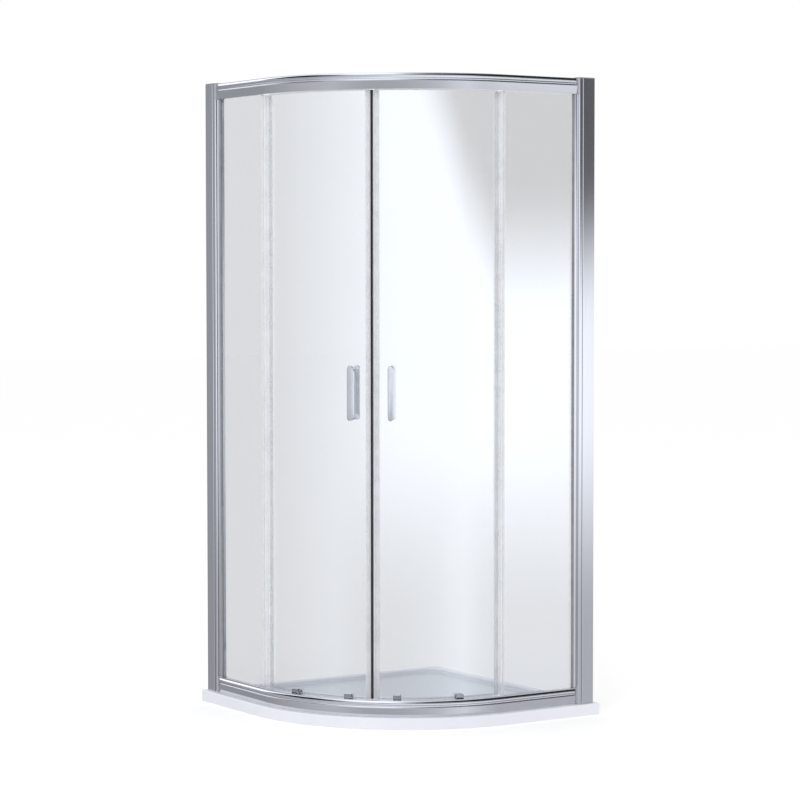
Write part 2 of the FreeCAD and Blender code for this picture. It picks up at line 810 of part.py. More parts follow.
def rail_face():
    """The rails' front from the lower edge up: flat fascia, narrow bead, rolled top. (depth, height)"""
    fascia_depth = size("fasciaInset")
    bead_depth = fascia_depth + size("beadInset")
    quirk_depth = fascia_depth + size("quirkInset")
    fascia = size("fasciaHeight")
    ease = size("edgeEase")
    bead_top = fascia + size("beadHeight")
    quirk_top = bead_top + ease + size("quirkHeight")
    roll = size("railHeight") - size("rollHeight")
    return [
        (fascia_depth + size("fasciaLean"), as_size(0)),
        (fascia_depth, fascia),
        (bead_depth, fascia + ease, size("beadRound"), 1),
        (bead_depth, bead_top - ease),
        (quirk_depth, bead_top + ease),
        (quirk_depth, quirk_top, size("rollUnderRound"), 1),
        (as_size(0), roll, size("rollRound"), 1),
        (size("rollInset"), size("railHeight")),
    ]


def rail_sections():
    """Outlines of the two rails as depth behind the rail's face and height above its lower edge."""
    face = size("railSetback")
    wall = size("railWall")
    height = size("railHeight")
    groove_near = groove_front - face
    groove_far = groove_back - face
    web_far = track_front - face
    back = rail_back - face
    cover = back + size("doorGap") + size("doorGlassThickness") + size("railCover")
    ceiling = height - wall
    upper = size("upperTrackHeight")
    fascia_back = size("fasciaInset") + wall
    lower_back = fascia_back + size("fasciaLean")
    shelf = size("fasciaHeight") - size("beadInset")
    lead = size("grooveLead")
    top_outline = rail_face() + [
        (cover, height),
        (cover, ceiling),
        (web_far, ceiling),
        (web_far, upper),
        (back, upper),
        (back, upper - wall),
        (groove_far, upper - wall),
        (groove_far, ceiling),
        (groove_near + lead, ceiling),
        (groove_near, ceiling - lead),
        (groove_near, shelf),
        (fascia_back, shelf),
        (lower_back, as_size(0)),
    ]
    lower = size("lowerTrackHeight")
    seat = height - size("grooveDepth")
    bottom_outline = rail_face() + [
        (groove_near, height),
        (groove_near, seat),
        (groove_far, seat),
        (groove_far, height - wall),
        (web_far, height - wall),
        (web_far, lower),
        (back, lower),
        (back, lower - wall),
        (web_far, lower - wall),
        (web_far, wall),
        (back, wall),
        (back, as_size(0)),
    ]
    chamber_back = web_far - wall
    chamber = [
        (lower_back, wall),
        (chamber_back, wall),
        (chamber_back, seat - wall),
        (lower_back, seat - wall),
    ]
    return [top_outline], [bottom_outline, chamber]


def along_front(name, outlines, face, z, start):
    """A section carried along the left straight, round the curve and along the right straight."""
    body = new_body(name)

    def outwards(outline, sign):
        corners = []
        for corner in outline:
            out = (size("trayRadius") - face - corner[0]) * sign
            if len(corner) == 2:
                corners.append((out, corner[1]))
            else:
                corners.append((out, corner[1], corner[2], -corner[3] * sign))
        return corners

    run = straight - start
    curve = new_sketch(body, name + "CurveSection", "YZ_Plane")
    fill(curve, [outwards(outline, -1) for outline in outlines], ())
    turned = body.newObject("PartDesign::Revolution", name + "Curve")
    turned.Profile = curve
    turned.ReferenceAxis = (curve, ["V_Axis"])
    turned.Angle = math.degrees(SQUARE_CORNER)
    left = [outwards(outline, -1) for outline in outlines]
    pad(body, name + "Left", run, left, plane="YZ_Plane", back=True)
    right = [outwards(outline, 1) for outline in outlines]
    pad(body, name + "Right", run, right, plane="XZ_Plane", back=True)
    to_curve_centre(body, z)
    return body


def build_rails():
    top_outlines, bottom_outlines = rail_sections()
    start = size("railStart")
    face = size("railSetback")
    upper = along_front("TopRail", top_outlines, face, top_rail_base, start)
    finish_piece(upper, "top_rail")
    lower = along_front("BottomRail", bottom_outlines, face, rail_base, start)
    finish_piece(lower, "bottom_rail")
    depth = rail_back - face
    edge = size("fasciaInset") + size("fasciaLean") + size("edgeEase")
    strip = rectangle(edge, as_size(0), depth - size("edgeEase"), size("sillThickness"))
    sill_start = size("stileEnd") + size("sealGap")
    sill = along_front("SillStrip", [strip], face, tray_top, sill_start)
    finish_piece(sill, "sill_strip")


def build_rail_corner(name, side, where):
    """The end piece that closes a rail and screws to the stile, with a lug inside the rail."""
    body = new_body("RailCorner_" + where + name)
    start = size("stileEnd") + size("sealGap")
    end = size("railStart") - size("sealGap")
    front = size("railSetback") + size("cornerInset")
    at_top = where == "top"
    base = top_rail_base if at_top else rail_base
    height = size("railHeight")
    groove_room = size("grooveDepth") + size("railGasket")
    solid_base = base + groove_room if at_top else base
    split_base = base if at_top else base + height - groove_room
    near = groove_front
    far = groove_back
    whole = [
        (start, front),
        (end, front),
        (end, rail_back),
        (start, rail_back),
    ]
    pad(
        body,
        "CornerPlate" + where + name,
        height - groove_room,
        [plan_outline(side, whole)],
        lift=solid_base,
    )
    front_part = plan_box(side, start, front, end, near)
    pad(body, "CornerFront" + where + name, groove_room, [front_part], lift=split_base)
    rear_part = plan_box(side, start, far, end, rail_back)
    pad(body, "CornerRear" + where + name, groove_room, [rear_part], lift=split_base)
    lug_play = size("screwPlay")
    lug_base = upper_track if at_top else rail_base + size("railWall")
    lug_top = rail_top - size("railWall") if at_top else lower_track - size("railWall")
    lug_end = end + size("cornerLug")
    lug = plan_box(side, end, track_front + lug_play, lug_end, rail_back - lug_play)
    lug_height = lug_top - lug_base - lug_play * 2
    pad(body, "CornerLug" + where + name, lug_height, [lug], lift=lug_base + lug_play)
    z = corner_screw_heights[1] if at_top else corner_screw_heights[0]
    hole = (frame_screw_d, z, screw_hole)
    drill_from_wall(body, "CornerHole" + where + name, side, start, lug_end - start, [hole])
    return finish_piece(body, f"rail_corner_{where}_{name}")


def build_screw(name, side, along_u, u, d, z, length):
    """A pan-head screw. Its head sits at u or d, and its shank points away from there."""
    body = new_body(name)
    head_radius = size("screwHeadRadius")
    head = size("screwHeadHeight")
    radius = size("screwRadius")
    rounding = size("screwHeadRound")
    section = [
        (-head, as_size(0)),
        (-head, head_radius - rounding, rounding, -1),
        (rounding - head, head_radius),
        (as_size(0), head_radius),
        (as_size(0), radius),
        (length, radius),
        (length, as_size(0)),
    ]
    spin(body, name + "Turned", section)
    x, y = on_plan(side, u, d)
    if along_u:
        turn = 0 if side < 0 else -90
    else:
        turn = -90 if side < 0 else 0
    place(body, x, y, z, turn)
    return body


def build_frame_screws():
    wall = size("stileWall")
    grip = size("stileEnd") - size("glassGrip") - size("stileGap")
    screws = []
    caps = []
    for name, side in SIDES:
        for index, z in enumerate(corner_screw_heights):
            label = f"CornerScrew{name}{index}"
            length = size("railStart") + size("cornerScrewReach") - grip + wall
            screw = build_screw(label, side, True, grip - wall, frame_screw_d, z, length)
            screws.append(screw)
        for index, z in enumerate(fixing_heights):
            label = f"FixingScrew{name}{index}"
            length = size("profileWall") + size("stileGap") + wall + size("fixingScrewReach")
            screw = build_screw(label, side, False, fixing_u, profile_back, z, length)
            screws.append(screw)
            caps.append(build_screw_cap(f"ScrewCap{name}{index}", side, z))
    group("frame_screws", screws)
    group("screw_caps", caps)


def build_screw_cap(name, side, z):
    """A domed cap that snaps over the head of a profile screw."""
    body = new_body(name)
    radius = size("screwCapRadius")
    height = size("screwCapHeight")
    inner = size("screwHeadRadius") + size("screwPlay")
    hollow = size("screwHeadHeight") + size("screwPlay")
    rounding = size("domeRound")
    section = [
        (-height, as_size(0)),
        (-height, radius - rounding, rounding, -1),
        (rounding - height, radius),
        (as_size(0), radius),
        (as_size(0), inner),
        (-hollow, inner),
        (-hollow, as_size(0)),
    ]
    spin(body, name + "Dome", section)
    x, y = on_plan(side, fixing_u, profile_back)
    place(body, x, y, z, -90 if side < 0 else 0)
    return body


# Fixed panels -------------------------------------------------------------------------------


def build_fixed_panel(name, side):
    front = size("fixedGlassSetback")
    start = size("stileEnd") - size("glassGrip")
    end = size("fixedGlassEnd")
    low = bottom_rail_top - size("grooveDepth") + size("glassSeat")
    high = top_rail_base + size("grooveDepth")
    glass = new_body("FixedGlass_" + name)
    pane = plan_box(side, start, front, end, fixed_glass_back)
    pad(glass, "Pane" + name, high - low, [pane], lift=low)
    finish_piece(glass, "fixed_glass_" + name)

    strip = new_body("EdgeStrip_" + name)
    cover = size("stripThickness")
    gap = size("sealGap")
    strip_start = end - size("stripCover")
    strip_end = strip_start + size("stripWidth")
    fin = size("finThickness")
    fin_tip = fixed_glass_back + gap + cover + size("finReach")
    outline = [
        (strip_start, front - gap - cover),
        (strip_end - cover, front - gap - cover, cover, 1),
        (strip_end, front - gap),
        (strip_end, fin_tip),
        (strip_end - fin, fin_tip),
        (strip_end - fin, fixed_glass_back + gap + cover),
        (strip_start, fixed_glass_back + gap + cover),
        (strip_start, fixed_glass_back + gap),
        (end + gap, fixed_glass_back + gap),
        (end + gap, front - gap),
        (strip_start, front - gap),
    ]
    end_gap = size("sealEndGap")
    height = top_rail_base - bottom_rail_top - end_gap
    lift = bottom_rail_top + end_gap / 2
    pad(strip, "StripRun" + name, height, [plan_outline(side, outline)], lift=lift)
    # the fin starts above the lower roller forks, which pass behind it as the door opens
    fork_top = lower_track + axle_rise + fork_rise + size("forkPass")
    notch = plan_box(side, strip_end - fin, track_front, strip_end + fin, fin_tip + fin)
    cut(strip, "ForkPass" + name, fork_top - lift, [notch], lift=lift)
    finish_piece(strip, "fixed_edge_strip_" + name)


def build_rail_gaskets():
    """Flat strips in both rails' grooves, in front of and behind each fixed pane."""
    gap = size("sealGap")
    start = size("railStart")
    end = size("fixedGlassEnd") - size("stripCover") - size("railGasket")
    strip = size("railGasket") - gap * 2
    height = size("gasketHeight")
    levels = (
        ("Low", bottom_rail_top - size("railWall") - height),
        ("High", top_rail_base + size("upperTrackHeight")),
    )
    pieces = []
    for name, side in SIDES:
        for level, z in levels:
            for row, near in (("Front", groove_front + gap), ("Back", fixed_glass_back + gap)):
                body = new_body("RailGasket" + level + row + name)
                outline = plan_box(side, start, near, end, near + strip)
                pad(body, "GasketRun" + level + row + name, height, [outline], lift=z)
                pieces.append(body)
    group("rail_gaskets", pieces)


# Doors --------------------------------------------------------------------------------------


def door_sweep(body, name, side, section, start, end):
    """A section carried along the door's curve between two angles from the meeting line."""
    first = start if side > 0 else -as_size(end)
    return sweep(body, name, section, as_size(first), as_size(end) - start)


def build_door_glass(name, side):
    body = new_body("DoorGlass_" + name)
    section = rectangle(glass_inner, glass_bottom, glass_outer, glass_top)
    door_sweep(body, "Pane" + name, side, section, size("doorLeadAngle"), size("doorTrailAngle"))
    to_curve_centre(body, 0, -DIAGONAL)
    reach = glass_outer + 1
    for where, angle in ROLLER_PLACES:
        holes = [(as_size(0), z, size("rollerHoleRadius")) for _, z in ROLLERS]
        hole_name = "RollerHoles" + where + name
        cut(body, hole_name, reach, circles=holes, plane="YZ_Plane", turn=side * angle)
    middle = tray_top + size("handleHeight")
    pitch = size("postPitch") / 2
    holes = [(as_size(0), middle + pitch * step, size("handleHoleRadius")) for step in (-1, 1)]
    turn = side * size("handleAngle")
    cut(body, "HandleHoles" + name, reach, circles=holes, plane="YZ_Plane", turn=turn)
    return finish_piece(body, "door_glass_" + name)


def clip_legs(body, name, side, low, high, start, end):
    """The two legs of a seal that clips over the door glass."""
    gap = size("sealGap")
    leg = size("sealThickness")
    outer = rectangle(glass_outer + gap, low, glass_outer + gap + leg, high)
    door_sweep(body, name + "OuterLeg", side, outer, start, end)
    inner = rectangle(glass_inner - gap - leg, low, glass_inner - gap, high)
    door_sweep(body, name + "InnerLeg", side, inner, start, end)


def build_magnetic_seal(name, side):
    low = bottom_rail_top + size("sealEndGap")
    high = top_rail_base - size("sealEndGap")
    gap = size("sealGap")
    body = new_body("MagneticSeal_" + name)
    nose_front = glass_outer + size("sealFront")
    nose_back = glass_inner - gap - size("sealThickness")
    nose_end = size("doorLeadAngle") - size("meetingAngle")
    nose = rectangle(nose_back, low, nose_front, high)
    door_sweep(body, "Nose" + name, side, nose, size("magnetAngle"), nose_end)
    clip_legs(body, "Lead" + name, side, low, high, nose_end, size("sealLegAngle"))
    to_curve_centre(body, 0, -DIAGONAL)
    finish_piece(body, "magnetic_seal_" + name)

    magnet = new_body("MagnetStrip_" + name)
    section = rectangle(glass_inner, low, glass_outer + size("magnetFront"), high)
    door_sweep(
        magnet, "Magnet" + name, side, section, size("meetingAngle"), size("magnetAngle")
    )
    to_curve_centre(magnet, 0, -DIAGONAL)
    finish_piece(magnet, "magnet_strip_" + name)


def build_trailing_seal(name, side):
    low = bottom_rail_top + size("trailEndGap")
    high = top_rail_base - size("trailEndGap")
    gap = size("sealGap")
    leg = size("sealThickness")
    body = new_body("TrailingSeal_" + name)
    cap_start = size("doorTrailAngle") + size("meetingAngle")
    cap = rectangle(glass_inner - gap - leg, low, glass_outer + gap + leg, high)
    door_sweep(body, "Cap" + name, side, cap, cap_start, size("trailCapAngle"))
    clip_legs(body, "Trail" + name, side, low, high, size("trailLegAngle"), cap_start)
    fin_root = glass_outer + gap
    fin = rectangle(fin_root, low, fin_root + leg + size("finReach"), high)
    fin_end = size("trailCapAngle")
    fin_start = fin_end - size("finThickness") / glass_outer * math.degrees(1)
    door_sweep(body, "Fin" + name, side, fin, fin_start, fin_end)
    to_curve_centre(body, 0, -DIAGONAL)
    finish_piece(body, "trailing_seal_" + name)


def build_wiper_seal(name, side):
    gap = size("sealGap")
    leg = size("sealThickness") / 2
    low = tray_top + size("wiperGap")
    shoe = glass_bottom - gap
    high = glass_bottom + size("wiperCover")
    web = shoe - size("wiperWeb")
    middle = (glass_inner + glass_outer) / 2
    blade = size("sealThickness") / 2
    outer = glass_outer + gap
    inner = glass_inner - gap
    section = [
        (inner - leg, web),
        (middle - blade, web),
        (middle - blade / 2, low),
        (middle + blade / 2, low),
        (middle + blade, web),
        (outer + leg, web),
        (outer + leg, high),
        (outer, high),
        (outer, shoe),
        (inner, shoe),
        (inner, high),
        (inner - leg, high),
    ]
    body = new_body("WiperSeal_" + name)
    door_sweep(
        body, "Wiper" + name, side, section, size("doorLeadAngle"), size("doorTrailAngle")
    )
    to_curve_centre(body, 0, -DIAGONAL)
    return finish_piece(body, "wiper_seal_" + name)


def build_handle(name, side, outside):
    """A flat upright bar on two round posts, seen from its own side of the glass."""
    where = "Outer" if outside else "Inner"
    body = new_body(f"{where}Handle_{name}")
    width = size("handleWidth")
    half_length = size("handleLength") / 2
    bar_radius = width / 2
    bar = [
        (-bar_radius, bar_radius - half_length, bar_radius, 1),
        (as_size(0), -half_length, bar_radius, 1),
        (bar_radius, bar_radius - half_length),
        (bar_radius, half_length - bar_radius, bar_radius, 1),
        (as_size(0), half_length, bar_radius, 1),
        (-bar_radius, half_length - bar_radius),
    ]
    post_gap = size("postGap")
    standoff = size("outerStandoff") if outside else size("innerStandoff")
    thickness = size("handleThickness")
    surface = glass_outer + post_gap if outside else glass_inner - post_gap
    bar_face = glass_outer + standoff if outside else glass_inner - standoff
    bar_root = bar_face - thickness if outside else bar_face + thickness
    pitch = size("postPitch") / 2
    posts = [(as_size(0), pitch * step, size("postRadius")) for step in (-1, 1)]
    pad(
        body,
        f"{where}Bar{name}",
        thickness,
        [bar],
        plane="YZ_Plane",
        lift=bar_root,
        back=not outside,
    )
    face_level = bar_face.number
    round_edges(
        body,
        f"{where}BarRound{name}",
        size("handleRound"),
        lambda e: abs(e.BoundBox.XMin - face_level) < 0.01
        and abs(e.BoundBox.XMax - face_level) < 0.01,
    )
    post_length = bar_root - surface if outside else surface - bar_root
    pad(
        body,
        f"{where}Posts{name}",
        post_length,
        circles=posts,
        plane="YZ_Plane",
        lift=bar_root,
        back=outside,
    )
    bores = [(x, z, size("boltRadius") + size("axlePlay")) for x, z, _ in posts]
    depth = size("boltDepth")
    lift = surface if outside else surface - depth
    cut(body, f"{where}Bores{name}", depth, circles=bores, plane="YZ_Plane", lift=lift)
    middle = tray_top + size("handleHeight")
    to_curve_centre(body, middle, door_turn(side, size("handleAngle")))
    return finish_piece(body, f"{where.lower()}_handle_{name}")


def round_bar(name, start, end, radius, bore=None):
    """A plain turned piece along its own level axis, solid or with a bore."""
    body = new_body(name)
    inner = as_size(0) if bore is None else bore
    spin(body, name + "Turned", rectangle(start, inner, end, radius))
    return body


def build_handle_fixings(name, side, bushes):
    bolts = []
    middle = tray_top + size("handleHeight")
    pitch = size("postPitch") / 2
    gap = size("sealGap")
    for index, step in enumerate((-1, 1)):
        z = middle + pitch * step
        turn = door_turn(side, size("handleAngle"))
        depth = size("boltDepth") - size("postGap")
        start = glass_inner - depth
        end = glass_outer + depth
        bolt = round_bar(f"HandleBolt{name}{index}", start, end, size("boltRadius"))
        to_curve_centre(bolt, z, turn)
        bolts.append(bolt)
        bush = round_bar(
            f"HandleBush{name}{index}",
            glass_inner + gap,
            glass_outer - gap,
            size("handleHoleRadius") - gap,
            size("boltRadius") + gap,
        )
        to_curve_centre(bush, z, turn)
        bushes.append(bush)
    group("handle_bolts_" + name, bolts)


def build_fork(name, side, angle, z):
    """The block that carries one roller: a thick back, a roof and a thin front plate."""
    body = new_body(name)
    half = size("forkWidth") / 2
    rise = fork_rise
    drop = size("forkDrop")
    full = rounded_rectangle(-half, -drop, half, rise, size("forkRound"))
    hole = (as_size(0), as_size(0), size("axleRadius") + size("sealGap"))
    gap = size("forkGap")
    slot_back = wheel_back - gap
    slot_front = wheel_front + gap
    roof = rectangle(
        size("forkRound") - half, size("wheelRadius") + gap, half - size("forkRound"), rise
    )
    plane = "YZ_Plane"
    pad(body, name + "Back", slot_back - fork_back, [full], [hole], plane, fork_back)
    pad(body, name + "Roof", slot_front - slot_back, [roof], (), plane, slot_back)
    pad(body, name + "Front", fork_front - slot_front, [full], [hole], plane, slot_front)
    to_curve_centre(body, z, door_turn(side, angle))
    return body


def build_wheel(name, label, side, angle, z):
    """A roller with a rounded tread and a hub that stands a little proud of its sides."""
    body = new_body(name)
    radius = size("wheelRadius")
    bore = size("axleRadius") + size("axlePlay")
    hub = size("axleRadius") * 2
    recess = size("forkGap")
    crown = size("wheelCrown")
    section = [
        (wheel_back, bore),
        (wheel_front, bore),
        (wheel_front, hub),
        (wheel_front - recess, hub),
        (wheel_front - recess, radius - crown * 2),
        (wheel_front, radius - crown * 2),
        (wheel_front, radius - crown, crown, 1),
        (wheel_front - crown, radius),
        (wheel_back + crown, radius, crown, 1),
        (wheel_back, radius - crown),
        (wheel_back, radius - crown * 2),
        (wheel_back + recess, radius - crown * 2),
        (wheel_back + recess, hub),
        (wheel_back, hub),
    ]
    spin(body, name + "Turned", section)
    to_curve_centre(body, z, door_turn(side, angle))
    return finish_piece(body, label)


def build_rollers(name, side, bushes):
    forks = []
    axles = []
    nuts = []
    washers = []
    gap = size("sealGap")
    washer_face = glass_inner - size("postGap")
    nut_face = washer_face - size("washerThickness")
    nut_end = nut_face - size("nutHeight")
    for level, z in ROLLERS:
        for where, angle in ROLLER_PLACES:
            key = f"{level}{where}{name}"
            turn = door_turn(side, angle)
            forks.append(build_fork("Fork" + key, side, angle, z))
            build_wheel("Wheel" + key, f"{level}_roller_{where}_{name}", side, angle, z)
            axle_end = fork_front - gap
            axle_start = nut_face - size("nutHeight") / 2
            axle = round_bar("Axle" + key, axle_start, axle_end, size("axleRadius"))
            bore = size("axleRadius") + gap
            nut = new_body("Nut" + key)
            radius = size("nutRadius")
            dome = size("domeRound")
            depth = axle_start - gap
            nut_section = [
                (nut_end, as_size(0)),
                (nut_end, radius - dome, dome, -1),
                (nut_end + dome, radius),
                (nut_face, radius),
                (nut_face, bore),
                (depth, bore),
                (depth, as_size(0)),
            ]
            spin(nut, "NutTurned" + key, nut_section)
            washer = round_bar("Washer" + key, nut_face + gap / 2, washer_face, radius, bore)
            outer = size("rollerHoleRadius") - gap
            bush = round_bar("Bush" + key, glass_inner + gap, glass_outer - gap, outer, bore)
            for piece, collection in (
                (axle, axles),
                (nut, nuts),
                (washer, washers),
                (bush, bushes),
            ):
                to_curve_centre(piece, z, turn)
                collection.append(piece)
    group("roller_forks_" + name, forks)
    group("roller_axles_" + name, axles)
    group("roller_nuts_" + name, nuts)
    group("roller_washers_" + name, washers)


def build_door_stops():
    """Rubber blocks on the top track, where the trailing roller's fork ends its travel."""
    open_angle = size("trailRollerAngle") + size("openingAngle") - DIAGONAL
    half_fork = size("forkWidth") / 2
    reach = fork_front * sine(open_angle) + half_fork * cosine(open_angle)
    end = straight - reach - size("stopGap")
    start = end - size("stopLength")
    play = size("forkGap")
    stops = []
    for name, side in SIDES:
        body = new_body("DoorStop_" + name)
        block = plan_box(side, start, track_front + play, end, rail_back - play)
        pad(body, "StopBlock" + name, size("stopHeight"), [block], lift=upper_track)
        stops.append(body)
    group("door_stops", stops)


# The whole enclosure ------------------------------------------------------------------------

build_tray()
for side_name, side_sign in SIDES:
    build_wall_profile(side_name, side_sign)
    build_profile_cap(side_name, side_sign)
    build_stile(side_name, side_sign)
    build_glazing_bead(side_name, side_sign)
    build_glazing_gasket(side_name, side_sign)
    build_fixed_panel(side_name, side_sign)
    for rail_name in ("top", "bottom"):
        build_rail_corner(side_name, side_sign, rail_name)
build_rails()
build_rail_gaskets()
build_frame_screws()
build_door_stops()
for side_name, side_sign in SIDES:
    build_door_glass(side_name, side_sign)
    build_magnetic_seal(side_name, side_sign)
    build_trailing_seal(side_name, side_sign)
    build_wiper_seal(side_name, side_sign)
    build_handle(side_name, side_sign, True)
    build_handle(side_name, side_sign, False)
    glass_bushes = []
    build_handle_fixings(side_name, side_sign, glass_bushes)
    build_rollers(side_name, side_sign, glass_bushes)
    group("glass_bushes_" + side_name, glass_bushes)

doc.recompute()

for thing in doc.Objects:
    if "Invalid" in thing.State or "Error" in thing.State:
        raise RuntimeError(f"{thing.Name} ({thing.Label}) failed: {thing.State}")
for piece in finished:
    if piece.Shape.isNull() or not piece.Shape.isValid() or not piece.Shape.Solids:
        raise RuntimeError(f"{piece.Label} has no valid solid")

os.makedirs("parts", exist_ok=True)
for piece in finished:
    piece.Shape.exportStep(os.path.join("parts", piece.Label + ".step"))
print(len(finished), "sub-parts written")
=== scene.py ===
import math

import bmesh
import bpy
from mathutils import Matrix, Vector
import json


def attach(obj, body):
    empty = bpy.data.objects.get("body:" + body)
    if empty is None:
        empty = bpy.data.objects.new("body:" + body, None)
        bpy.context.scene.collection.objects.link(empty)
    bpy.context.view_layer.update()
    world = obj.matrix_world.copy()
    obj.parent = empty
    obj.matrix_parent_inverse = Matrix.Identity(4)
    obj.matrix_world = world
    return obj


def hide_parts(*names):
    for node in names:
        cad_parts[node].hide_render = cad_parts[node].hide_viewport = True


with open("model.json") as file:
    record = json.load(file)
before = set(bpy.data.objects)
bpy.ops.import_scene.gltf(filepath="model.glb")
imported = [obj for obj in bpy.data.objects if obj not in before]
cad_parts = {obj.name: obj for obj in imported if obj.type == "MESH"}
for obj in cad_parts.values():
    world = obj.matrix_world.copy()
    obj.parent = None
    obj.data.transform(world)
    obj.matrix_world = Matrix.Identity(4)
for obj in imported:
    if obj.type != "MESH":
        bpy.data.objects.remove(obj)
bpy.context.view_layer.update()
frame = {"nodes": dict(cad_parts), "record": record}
nodes = frame["nodes"]
slotOf = {part["node"]: part["material_slot"] for part in frame["record"]["subparts"]}
bodyOf = {node: body for body, members in frame["record"]["behaviour"]["bodies"].items()
          for node in members}


def linearColour(hexText):
    # sRGB hex to the linear values that shaders read
    values = [int(hexText[i:i + 2], 16) / 255 for i in (1, 3, 5)]
    return [v / 12.92 if v <= 0.04045 else ((v + 0.055) / 1.055) ** 2.4 for v in values] + [1.0]


def addNode(tree, kind, links=None, **settings):
    # one node, its settings, and its links given as {input: socket or plain value}
    node = tree.nodes.new(kind)
    for name, value in settings.items():
        setattr(node, name, value)
    for key, value in (links or {}).items():
        if isinstance(value, bpy.types.NodeSocket):
            tree.links.new(value, node.inputs[key])
        else:
            node.inputs[key].default_value = value
    return node


print("materials")

# Every look has two colours it drifts between and the least and most roughness. "tone", "wear"
# and "relief" say how many times their patterns repeat in a metre; relief adds its strength and
# its depth in metres, and "grain" stretches all three along the piece.
plastic = {  # moulded or extruded: 40 mm clouds of tone, 5 mm of shine, a skin of 1 mm grain
    "tone": 25.0, "wear": 180.0, "relief": (1000.0, 0.08, 0.0002),
}
plate = {  # chromium plate: 33 mm clouds of tone and 11 mm of wear, too soft to see as a pattern
    "surface": {"Metallic": 1.0}, "tone": 30.0, "wear": 90.0,
}
anodised = {  # drawn lines 0.4 to 0.7 mm apart, coarser than the real ones so that they show
    "surface": {"Metallic": 1.0}, "bright": "#e2e3e7", "shade": "#dddee2",
    "tone": 1.0, "wear": 1.0, "relief": (1.0, 0.03, 0.00004), "detail": (3.0, 4.0),
}
toughened = {  # clouds of 500 mm in tone and 170 mm in shine, the faint unevenness of float glass
    "surface": {"Metallic": 1.0, "Alpha": 0.26}, "bright": "#f2f8ff", "shade": "#eef5fc",
    "roughness": (0.012, 0.03), "tone": 2.0, "wear": 6.0,
}

looks = {
    # vacuum-formed sanitary acrylic: white with a cool cast, glossy, waves of 80 mm
    "sanitaryAcrylic": {"bright": "#f3f4fb", "shade": "#edeef7", "roughness": (0.14, 0.24),
                        "surface": {"IOR": 1.49}, "tone": 3.0, "wear": 60.0,
                        "relief": (12.0, 0.15, 0.002)},
    # bright-dipped anodised aluminium: lines along the bar blur what it mirrors
    "anodisedAluminiumUpright": {**anodised, "grain": (1500, 1500, 6), "roughness": (0.06, 0.10)},
    "anodisedAluminiumRail": {**anodised, "grain": (8, 8, 2500), "roughness": (0.05, 0.09)},
    # 5 mm toughened glass, silvery where it mirrors the studio; alpha lets light through
    "toughenedGlassFixed": toughened,
    "toughenedGlassDoor": toughened,
    # extruded clear vinyl: a hazy strip that the glass shows through
    "clearVinylSeal": {**plastic, "bright": "#f3f5f8", "shade": "#e8ebef",
                       "roughness": (0.2, 0.32), "surface": {"Alpha": 0.3}},
    # rubber filled with ferrite powder: nearly black, dull
    "ferriteRubber": {**plastic, "bright": "#151516", "shade": "#1d1d1f",
                      "roughness": (0.45, 0.6)},
    # extruded grey rubber: matt, a shade darker than the bars it sits in
    "greyRubberGasket": {**plastic, "bright": "#8e8f92", "shade": "#828387",
                         "roughness": (0.5, 0.65)},
    # moulded black rubber: soft, with hardly any shine
    "blackRubberStop": {**plastic, "bright": "#1b1b1c", "shade": "#242425",
                        "roughness": (0.55, 0.7)},
    # extruded pale grey vinyl: a thin satin line on the tray
    "paleSillVinyl": {**plastic, "bright": "#d2d4d9", "shade": "#c6c8ce",
                      "roughness": (0.4, 0.55)},
    # moulded grey nylon: satin, close to the aluminium in tone but not metallic
    "greyNylonCap": {**plastic, "bright": "#9b9ca0", "shade": "#8f9094", "roughness": (0.35, 0.5)},
    # moulded light grey ABS: a little glossier than the nylon
    "greyAbsCorner": {**plastic, "bright": "#b4b5b9", "shade": "#a9aaae",
                      "roughness": (0.3, 0.45)},
    # moulded white nylon: warm white, waxy
    "whiteNylonRoller": {**plastic, "bright": "#ecebe6", "shade": "#e2e1dc",
                         "roughness": (0.3, 0.45)},
    # nylon in its natural colour: a yellower white
    "naturalNylonBush": {**plastic, "bright": "#dcdbd4", "shade": "#d0cfc8",
                         "roughness": (0.35, 0.5)},
    # chromium plate, from mirror bright on the nuts to satin on the forks
    "chromePlate": {**plate, "bright": "#e6e7ea", "shade": "#dfe0e4", "roughness": (0.06, 0.12)},
    "satinChromeGrip": {**plate, "bright": "#d9dbdf", "shade": "#d2d4d9",
                        "roughness": (0.08, 0.13)},
    # painted light: a lighter copy of the chrome grip, for the inner handles, which sit in shade
    # behind the glass
    "paintedLightChromeGrip": {**plate, "bright": "#f2f3f5", "shade": "#ecedf0",
                         "roughness": (0.1, 0.15)},
    "satinChromeFork": {**plate, "bright": "#b4b6bb", "shade": "#a9abb1", "roughness": (0.12, 0.2)},
    # zinc-plated steel: greyer than chromium, with specks of 1 to 3 mm
    "platedSteel": {"surface": {"Metallic": 1.0}, "bright": "#b9babd", "shade": "#a5a6aa",
                    "roughness": (0.22, 0.36), "tone": 300.0, "wear": 800.0},
}
paintedBasinShade = {  # painted shade: the sunken floor is painted greyer than the glossy rim, for the shade that falls on it inside the glass
    "bright": "#dfe3e8", "shade": "#d9dde3",
    "greyBelow": 0.022, "whiteAbove": 0.033,  # height on the tray, in metres
    "sideways": 0.2, "upward": 0.8,  # only faces that look up turn grey
}
cloudRange = {"From Min": 0.3, "From Max": 0.7}  # noise seldom leaves it


def cloudNoise(tree, perMetre, stretch, detail):
    # noise on Object coordinates, which are metres here
    place = addNode(tree, "ShaderNodeTexCoord")
    stretched = addNode(tree, "ShaderNodeMapping", {
        "Vector": place.outputs["Object"], "Scale": stretch})
    noise = addNode(tree, "ShaderNodeTexNoise", {
        "Vector": stretched.outputs["Vector"], "Scale": perMetre, "Detail": detail})
    return noise.outputs["Fac"]


